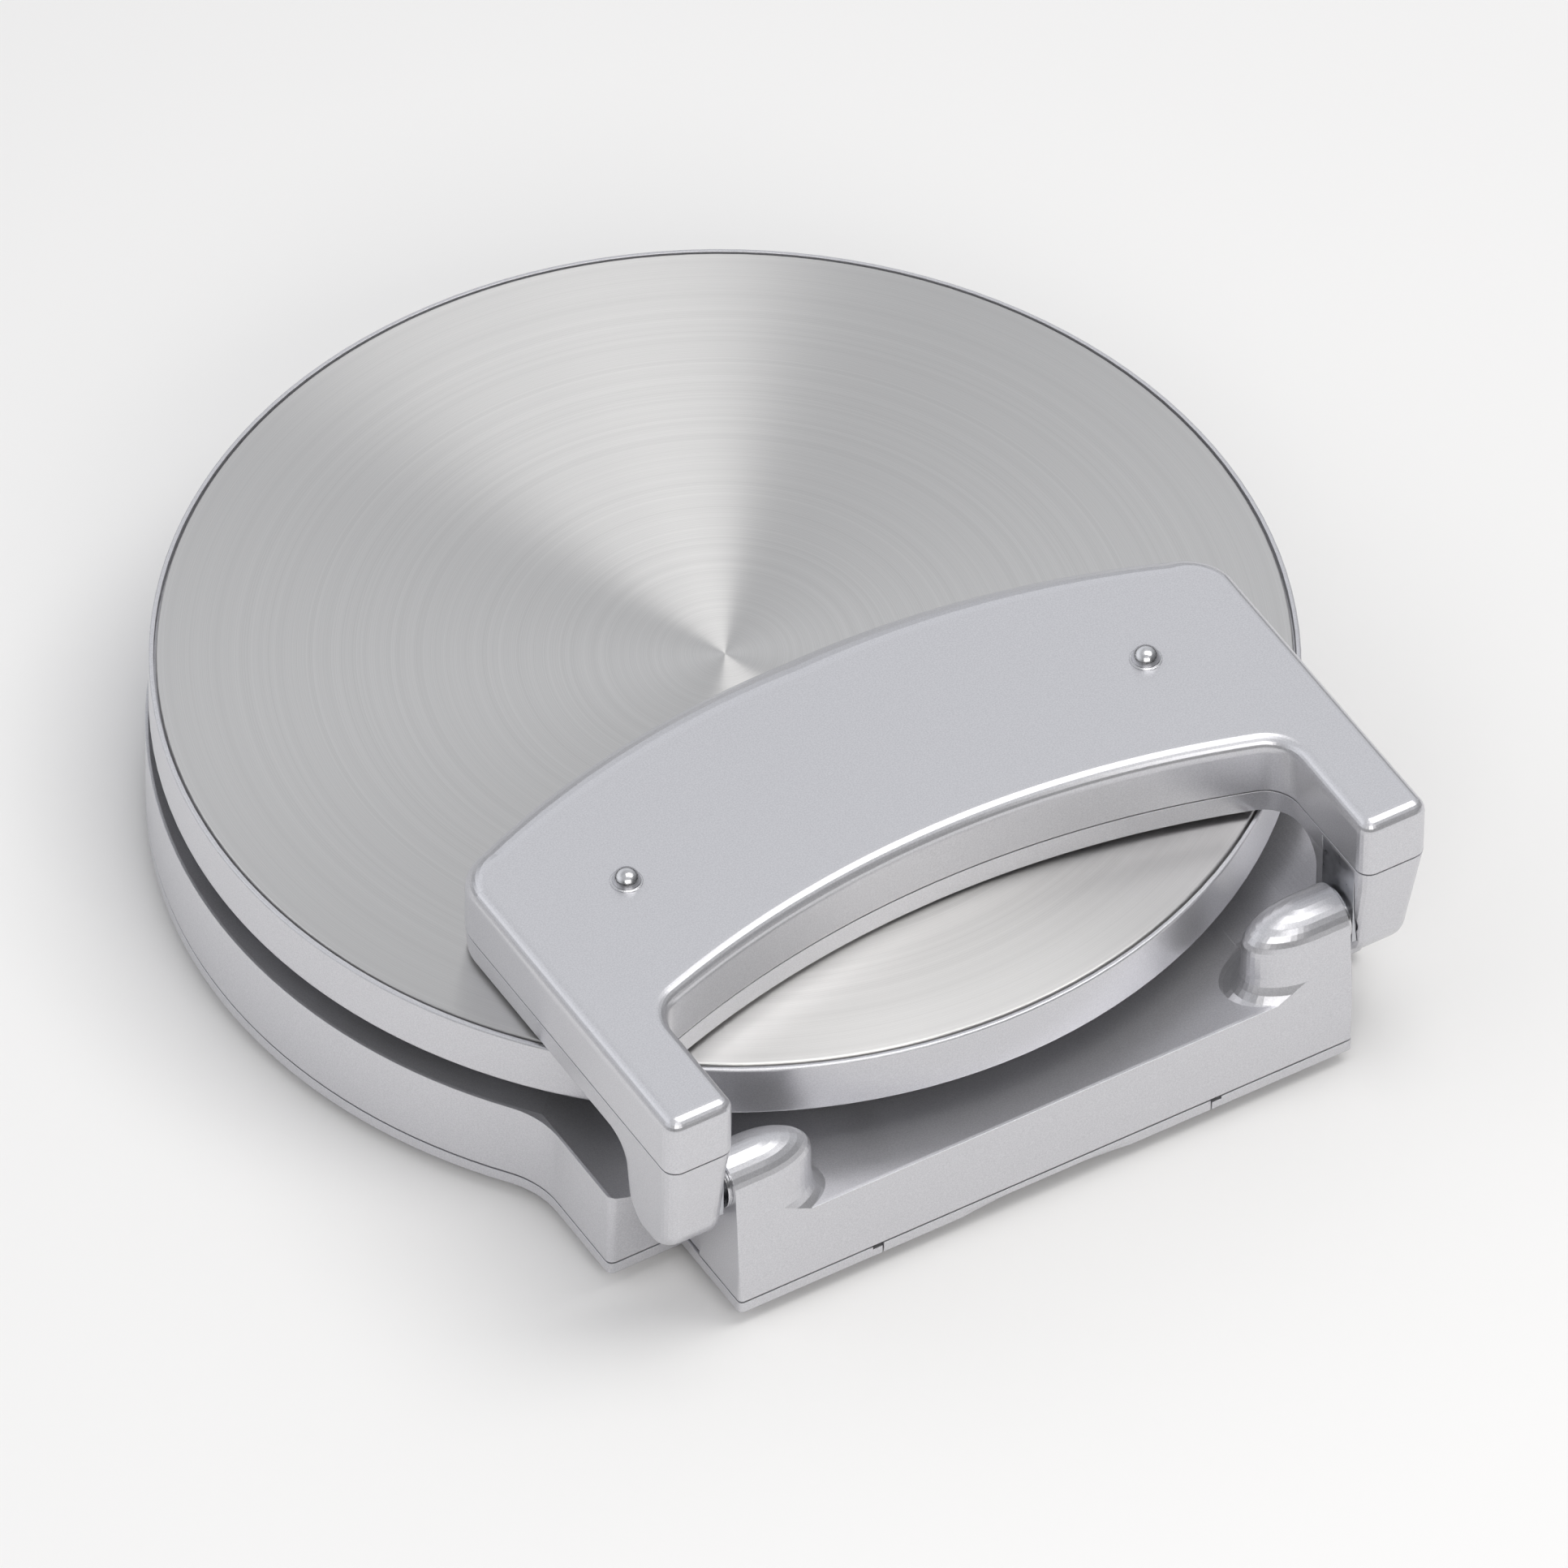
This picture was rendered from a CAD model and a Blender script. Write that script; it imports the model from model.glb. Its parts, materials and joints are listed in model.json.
"""Looks of a round bathroom scale with a fold-over display unit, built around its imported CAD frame."""
import json
import math

import bpy
from mathutils import Matrix, Vector


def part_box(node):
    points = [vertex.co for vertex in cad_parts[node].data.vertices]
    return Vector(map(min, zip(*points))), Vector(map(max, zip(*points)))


MM = 0.001

# noise scales, in cells per metre
PAINT_FLAKE = 2600.0
PAINT_PEEL = 420.0
SPIN_FINE = 5200.0
SPIN_BROAD = 420.0

# faces that meet at more than this angle keep a sharp edge
SHARP_EDGE = math.radians(28)
# edges are softened by this radius when they are shaded
MOULDED_EDGE = 0.3 * MM
METAL_EDGE = 0.25 * MM

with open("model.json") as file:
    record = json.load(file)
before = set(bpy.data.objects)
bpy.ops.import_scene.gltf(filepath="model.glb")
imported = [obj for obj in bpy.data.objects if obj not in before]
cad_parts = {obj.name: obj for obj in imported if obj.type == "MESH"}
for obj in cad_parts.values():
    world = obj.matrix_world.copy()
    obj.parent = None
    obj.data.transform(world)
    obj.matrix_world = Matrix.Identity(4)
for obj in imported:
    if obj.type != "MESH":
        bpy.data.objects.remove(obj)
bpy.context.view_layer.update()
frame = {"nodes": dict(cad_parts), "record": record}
disc_low, disc_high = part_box("steel_disc")
PLATE = Vector(((disc_low.x + disc_high.x) / 2, (disc_low.y + disc_high.y) / 2, disc_high.z))


# ---- node helpers ----

class Tree:
    """A material's node tree, with its Principled shader."""

    def __init__(self, name):
        self.mat = bpy.data.materials.new(name)
        self.mat.use_nodes = True
        self.nodes = self.mat.node_tree.nodes
        self.links = self.mat.node_tree.links
        self.bsdf = self.nodes["Principled BSDF"]

    def add(self, kind, inputs=None, **settings):
        node = self.nodes.new("ShaderNode" + kind)
        for key, value in settings.items():
            setattr(node, key, value)
        for key, value in (inputs or {}).items():
            self.put(node, key, value)
        return node

    def put(self, node, key, value):
        if isinstance(value, bpy.types.NodeSocket):
            self.links.new(value, node.inputs[key])
        else:
            node.inputs[key].default_value = value

    def math(self, operation, a, b=0.0, clamp=False):
        node = self.add("Math", {0: a, 1: b}, operation=operation, use_clamp=clamp)
        return node.outputs[0]

    def place(self):
        return self.add("TexCoord").outputs["Object"]

    def noise(self, scale, detail=2.0, rough=0.5, vector=None, dims="3D"):
        node = self.add("TexNoise", None, noise_dimensions=dims)
        node.inputs["Scale"].default_value = scale
        node.inputs["Detail"].default_value = detail
        node.inputs["Roughness"].default_value = rough
        if dims == "1D":
            self.put(node, "W", vector)
        else:
            self.put(node, "Vector", vector or self.place())
        return node.outputs["Fac"]

    def spread(self, value, low, high):
        """value from 0..1 to low..high"""
        node = self.add("MapRange", {"Value": value, "To Min": low, "To Max": high})
        node.inputs["From Min"].default_value = 0.3
        node.inputs["From Max"].default_value = 0.7
        return node.outputs["Result"]

    def tint(self, value, dark, light):
        node = self.add("Mix", None, data_type="RGBA")
        node.inputs[6].default_value = (*dark, 1)
        node.inputs[7].default_value = (*light, 1)
        self.put(node, 0, value)
        return node.outputs[2]

    def bump(self, height, distance, strength=1.0, normal=None):
        node = self.add("Bump", {"Height": height})
        node.inputs["Distance"].default_value = distance
        node.inputs["Strength"].default_value = strength
        if normal is not None:
            self.put(node, "Normal", normal)
        return node.outputs["Normal"]

    def softened(self, radius):
        """normals rounded over the edges, like the small radii of a moulding"""
        node = self.add("Bevel", None, samples=8)
        node.inputs["Radius"].default_value = radius
        return node.outputs["Normal"]


# ---- materials ----

def silver_paint():
    t = Tree("silver_paint")
    edge = t.softened(MOULDED_EDGE)
    flake = t.noise(PAINT_FLAKE, 1.0)
    peel = t.noise(PAINT_PEEL, 2.0)
    flecks = t.tint(t.spread(flake, 0, 1), (0.605, 0.603, 0.63), (0.705, 0.703, 0.73))
    t.put(t.bsdf, "Base Color", flecks)
    t.bsdf.inputs["Metallic"].default_value = 0.73
    t.put(t.bsdf, "Roughness", t.spread(flake, 0.30, 0.34))
    t.bsdf.inputs["Coat Weight"].default_value = 0.12
    t.bsdf.inputs["Coat Roughness"].default_value = 0.25
    rough = t.bump(flake, 0.0015 * MM, 0.5, edge)
    t.put(t.bsdf, "Normal", t.bump(peel, 0.003 * MM, 0.6, rough))
    return t.mat


def spun_steel():
    """brushed in circles about the middle of the plate"""
    t = Tree("spun_steel")
    place = t.add("VectorMath", {0: t.place()}, operation="SUBTRACT")
    place.inputs[1].default_value = (PLATE.x, PLATE.y, 0)
    flat = t.add("VectorMath", {0: place.outputs[0]}, operation="MULTIPLY")
    flat.inputs[1].default_value = (1, 1, 0)
    radius = t.add("VectorMath", {0: flat.outputs[0]}, operation="LENGTH").outputs["Value"]
    fine = t.noise(SPIN_FINE, 3.0, 0.7, radius, "1D")
    broad = t.noise(SPIN_BROAD, 4.0, 0.75, radius, "1D")
    lines = t.math("ADD", t.math("MULTIPLY", fine, 0.6), t.math("MULTIPLY", broad, 0.4))
    shade = t.tint(t.spread(lines, 0, 1), (0.63, 0.622, 0.613), (0.765, 0.756, 0.746))
    t.put(t.bsdf, "Base Color", shade)
    t.bsdf.inputs["Metallic"].default_value = 1.0
    t.put(t.bsdf, "Roughness", t.spread(broad, 0.315, 0.335))
    t.bsdf.inputs["Anisotropic"].default_value = 0.96
    t.bsdf.inputs["Anisotropic Rotation"].default_value = 0.25
    tangent = t.add("Tangent", None, direction_type="RADIAL", axis="Z")
    t.put(t.bsdf, "Tangent", tangent.outputs[0])
    t.put(t.bsdf, "Normal", t.bump(lines, 0.004 * MM, 0.5))
    return t.mat


def plain_metal(name, color, rough, grain, depth, stretch=(1, 1, 1)):
    """metal with faint marks; stretch draws them out along an axis"""
    t = Tree(name)
    dulling, smoother, rougher = 0.82, 0.8, 1.25
    mapping = t.add("Mapping", {"Vector": t.place()})
    mapping.inputs["Scale"].default_value = stretch
    marks = t.noise(grain, 3.0, 0.6, mapping.outputs[0])
    dull = tuple(dulling * c for c in color)
    t.put(t.bsdf, "Base Color", t.tint(t.spread(marks, 0, 1), dull, color))
    t.bsdf.inputs["Metallic"].default_value = 1.0
    t.put(t.bsdf, "Roughness", t.spread(marks, rough * smoother, rough * rougher))
    t.put(t.bsdf, "Normal", t.bump(marks, depth, 0.4, t.softened(METAL_EDGE)))
    return t.mat


def moulded(name, dark, light, rough, grain, depth, coat=0.0):
    """plastic or rubber with fine pores and a slow change of tone"""
    t = Tree(name)
    pores = t.noise(grain, 2.0)
    cloud = t.noise(60.0, 2.0)
    t.put(t.bsdf, "Base Color", t.tint(t.spread(cloud, 0, 1), dark, light))
    t.put(t.bsdf, "Roughness", t.spread(pores, rough * 0.85, rough * 1.15))
    t.bsdf.inputs["Coat Weight"].default_value = coat
    t.put(t.bsdf, "Normal", t.bump(pores, depth, 0.5, t.softened(MOULDED_EDGE)))
    return t.mat


def circuit_board():
    t = Tree("circuit_board")
    tracks = t.add("TexBrick", {"Vector": t.place()})
    tracks.inputs["Scale"].default_value = 260.0
    tracks.inputs["Mortar Size"].default_value = 0.07
    tracks.inputs["Brick Width"].default_value = 0.9
    tracks.inputs["Row Height"].default_value = 0.35
    tracks.inputs["Color1"].default_value = (0.012, 0.11, 0.05, 1)
    tracks.inputs["Color2"].default_value = (0.015, 0.13, 0.06, 1)
    tracks.inputs["Mortar"].default_value = (0.03, 0.22, 0.11, 1)
    t.put(t.bsdf, "Base Color", tracks.outputs["Color"])
    t.bsdf.inputs["Roughness"].default_value = 0.35
    t.put(t.bsdf, "Normal", t.bump(tracks.outputs["Fac"], 0.03 * MM, 0.5))
    return t.mat


def battery_sleeve():
    """a dark shrink sleeve with a copper-coloured end band"""
    t = Tree("battery_sleeve")
    place = t.add("SeparateXYZ", {0: t.place()})
    cell_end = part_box("battery_1")[1].y
    band_width = 12 * MM
    band = t.math("GREATER_THAN", place.outputs["Y"], cell_end - band_width)
    t.put(t.bsdf, "Base Color", t.tint(band, (0.02, 0.05, 0.045), (0.52, 0.30, 0.13)))
    t.bsdf.inputs["Roughness"].default_value = 0.28
    t.bsdf.inputs["Coat Weight"].default_value = 0.4
    t.put(t.bsdf, "Normal", t.bump(t.noise(300.0), 0.02 * MM, 0.4))
    return t.mat


def clear_window():
    t = Tree("clear_window")
    t.bsdf.inputs["Base Color"].default_value = (0.86, 0.89, 0.90, 1)
    t.bsdf.inputs["Transmission Weight"].default_value = 1.0
    t.bsdf.inputs["IOR"].default_value = 1.49
    t.put(t.bsdf, "Roughness", t.spread(t.noise(120.0), 0.01, 0.03))
    return t.mat


def lcd_glass():
    """grey-green cell with its unlit segments faintly showing"""
    t = Tree("lcd_glass")
    low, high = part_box("lcd_panel")
    place = t.add("SeparateXYZ", {0: t.place()})
    digit_pitch, digit_half_height = 17 * MM, 9 * MM
    cell = t.math("FRACT", t.math("DIVIDE", place.outputs["X"], digit_pitch))
    side = t.math("COMPARE", t.math("ABSOLUTE", t.math("SUBTRACT", cell, 0.5)), 0.32)
    off_middle = t.math("SUBTRACT", place.outputs["Y"], (low.y + high.y) / 2)
    row = t.math("DIVIDE", off_middle, digit_half_height)
    part_row = t.math("ABSOLUTE", t.math("SUBTRACT", t.math("FRACT", row), 0.5))
    bars = t.math("LESS_THAN", part_row, 0.08)
    inside = t.math("LESS_THAN", t.math("ABSOLUTE", row), 1.25)
    ghost = t.math("MULTIPLY", t.math("MAXIMUM", side, bars), inside)
    t.put(t.bsdf, "Base Color", t.tint(ghost, (0.34, 0.39, 0.31), (0.31, 0.36, 0.285)))
    t.put(t.bsdf, "Roughness", t.spread(t.noise(800.0), 0.22, 0.28))
    return t.mat


FINISH = {
    "silver_paint": silver_paint(),
    "spun_steel": spun_steel(),
    "zinc_plate": plain_metal("zinc_plate", (0.62, 0.63, 0.66), 0.34, 260.0, 0.02 * MM),
    "cell_alloy": plain_metal("cell_alloy", (0.80, 0.81, 0.82), 0.26, 500.0, 0.01 * MM,
                              (1, 0.05, 1)),
    "bright_steel": plain_metal("bright_steel", (0.70, 0.70, 0.72), 0.24, 600.0, 0.003 * MM),
    "foot_rubber": moulded("foot_rubber", (0.018, 0.018, 0.019), (0.03, 0.03, 0.031),
                           0.75, 900.0, 0.04 * MM),
    "black_plastic": moulded("black_plastic", (0.014, 0.014, 0.016), (0.02, 0.02, 0.022),
                             0.5, 1500.0, 0.02 * MM),
    "circuit_board": circuit_board(),
    "battery_sleeve": battery_sleeve(),
    "lead_sheath": moulded("lead_sheath", (0.012, 0.012, 0.013), (0.018, 0.018, 0.02),
                           0.55, 700.0, 0.02 * MM),
    "clear_window": clear_window(),
    "lcd_glass": lcd_glass(),
    "key_plastic": moulded("key_plastic", (0.05, 0.056, 0.07), (0.06, 0.066, 0.08),
                           0.38, 1300.0, 0.01 * MM, 0.2),
}


def dress(obj, material):
    """one finish for a piece, shaded smooth up to its real edges"""
    obj.data.materials.clear()
    obj.data.materials.append(material)
    if obj.data.has_custom_normals:
        bpy.context.view_layer.objects.active = obj
        bpy.ops.mesh.customdata_custom_splitnormals_clear()
    obj.data.shade_smooth()
    obj.data.set_sharp_from_angle(angle=SHARP_EDGE)


for part in frame["record"]["subparts"]:
    dress(frame["nodes"][part["node"]], FINISH[part["material_slot"]])


# ---- floor, light and camera ----

# strength of the pale screens to the right of the camera, behind the scale and to the left
SCREENS = {(0.85, -0.53, 0.0): 0.25, (0.53, 0.85, 0.0): 0.85, (-0.85, 0.53, 0.0): 1.2}
# the screens start and end at these heights of the sky, from 0 level to 1 overhead
SCREEN_START = (0.08, 0.35)
CEILING_START = (0.55, 0.85)
CEILING = 0.6
SKY_COLOR = (0.965, 0.98, 1.01, 1)
LAMP_COLOR = (1.0, 0.99, 0.972)
MIDDLE = (0, 0, 50 * MM)

# the camera's direction and its place from the middle of the steel plate, in metres
AZIMUTH, ELEVATION, ROLL = -31.88, 45.71, 0.87
CAMERA_OFFSET = (-3.0748, -4.9736, 5.9459)
LENS, SENSOR = 737.7, 36


def floor():
    t = Tree("studio_floor")
    shade = t.noise(1.2, 1.0)
    t.put(t.bsdf, "Base Color", t.tint(shade, (0.90, 0.892, 0.882), (0.915, 0.907, 0.897)))
    t.bsdf.inputs["Roughness"].default_value = 0.9
    # a hair below the feet, so that the two faces don't coincide
    bpy.ops.mesh.primitive_plane_add(size=14, location=(0, 0, -0.2 * MM))
    plane = bpy.context.object
    plane.name = "studio_floor"
    plane.data.materials.append(t.mat)


def soft_box(name, place, size, power):
    light = bpy.data.lights.new(name, "AREA")
    light.shape = "RECTANGLE"
    light.size, light.size_y = size
    light.energy = power
    light.color = LAMP_COLOR
    obj = bpy.data.objects.new(name, light)
    bpy.context.scene.collection.objects.link(obj)
    obj.location = place
    obj.rotation_euler = (Vector(MIDDLE) - Vector(place)).to_track_quat("-Z", "Y").to_euler()


def surroundings():
    """a dark studio with pale screens on three sides, part way up, and a ceiling"""
    world = bpy.data.worlds.new("studio")
    bpy.context.scene.world = world
    world.use_nodes = True
    nodes, links = world.node_tree.nodes, world.node_tree.links

    def step(kind, operation, a, b=None):
        node = nodes.new(kind)
        node.operation = operation
        for key, value in enumerate((a, b)):
            if isinstance(value, bpy.types.NodeSocket):
                links.new(value, node.inputs[key])
            elif value is not None:
                node.inputs[key].default_value = value
        return node

    def calc(operation, a, b):
        return step("ShaderNodeMath", operation, a, b).outputs[0]

    def ramp(value, low, high):
        """0 below low, 1 above high"""
        node = nodes.new("ShaderNodeMapRange")
        node.interpolation_type = "SMOOTHSTEP"
        node.inputs["From Min"].default_value = low
        node.inputs["From Max"].default_value = high
        links.new(value, node.inputs["Value"])
        return node.outputs["Result"]

    place = nodes.new("ShaderNodeTexCoord").outputs["Generated"]
    height = nodes.new("ShaderNodeSeparateXYZ")
    links.new(place, height.inputs[0])
    flat = step("ShaderNodeVectorMath", "MULTIPLY", place, (1, 1, 0)).outputs[0]
    level = step("ShaderNodeVectorMath", "NORMALIZE", flat).outputs[0]
    ceiling = ramp(height.outputs["Z"], *CEILING_START)
    band = calc("SUBTRACT", ramp(height.outputs["Z"], *SCREEN_START), ceiling)
    total = calc("MULTIPLY", ceiling, CEILING)
    for side, strength in SCREENS.items():
        facing = step("ShaderNodeVectorMath", "DOT_PRODUCT", level, side).outputs["Value"]
        share = calc("POWER", calc("MAXIMUM", facing, 0.0), 2.0)
        total = calc("ADD", total, calc("MULTIPLY", calc("MULTIPLY", share, strength), band))
    back = nodes["Background"]
    back.inputs["Color"].default_value = SKY_COLOR
    links.new(total, back.inputs["Strength"])


def camera():
    """the long lens that the pictured scale was taken with, seen from the front left"""
    azimuth, elevation, roll = (math.radians(a) for a in (AZIMUTH, ELEVATION, ROLL))
    right = Vector((math.cos(azimuth), math.sin(azimuth), 0))
    back = Vector((math.sin(azimuth) * math.cos(elevation),
                   -math.cos(azimuth) * math.cos(elevation),
                   math.sin(elevation)))
    up = back.cross(right)
    turned_right = math.cos(roll) * right + math.sin(roll) * up
    turned_up = math.cos(roll) * up - math.sin(roll) * right
    data = bpy.data.cameras.new("photo_camera")
    data.lens, data.sensor_width = LENS, SENSOR
    data.clip_end = 60
    obj = bpy.data.objects.new("photo_camera", data)
    bpy.context.scene.collection.objects.link(obj)
    turn = Matrix((turned_right, turned_up, back)).transposed().to_4x4()
    obj.matrix_world = Matrix.Translation(PLATE + Vector(CAMERA_OFFSET)) @ turn
    bpy.context.scene.camera = obj


floor()
surroundings()
camera()
soft_box("key", place=(0.59, -0.29, 2.0), size=(0.95, 1.6), power=16.2)
soft_box("front", place=(-0.5, -1.6, 1.3), size=(1.6, 0.8), power=13)
bpy.context.scene.view_settings.view_transform = "Standard"
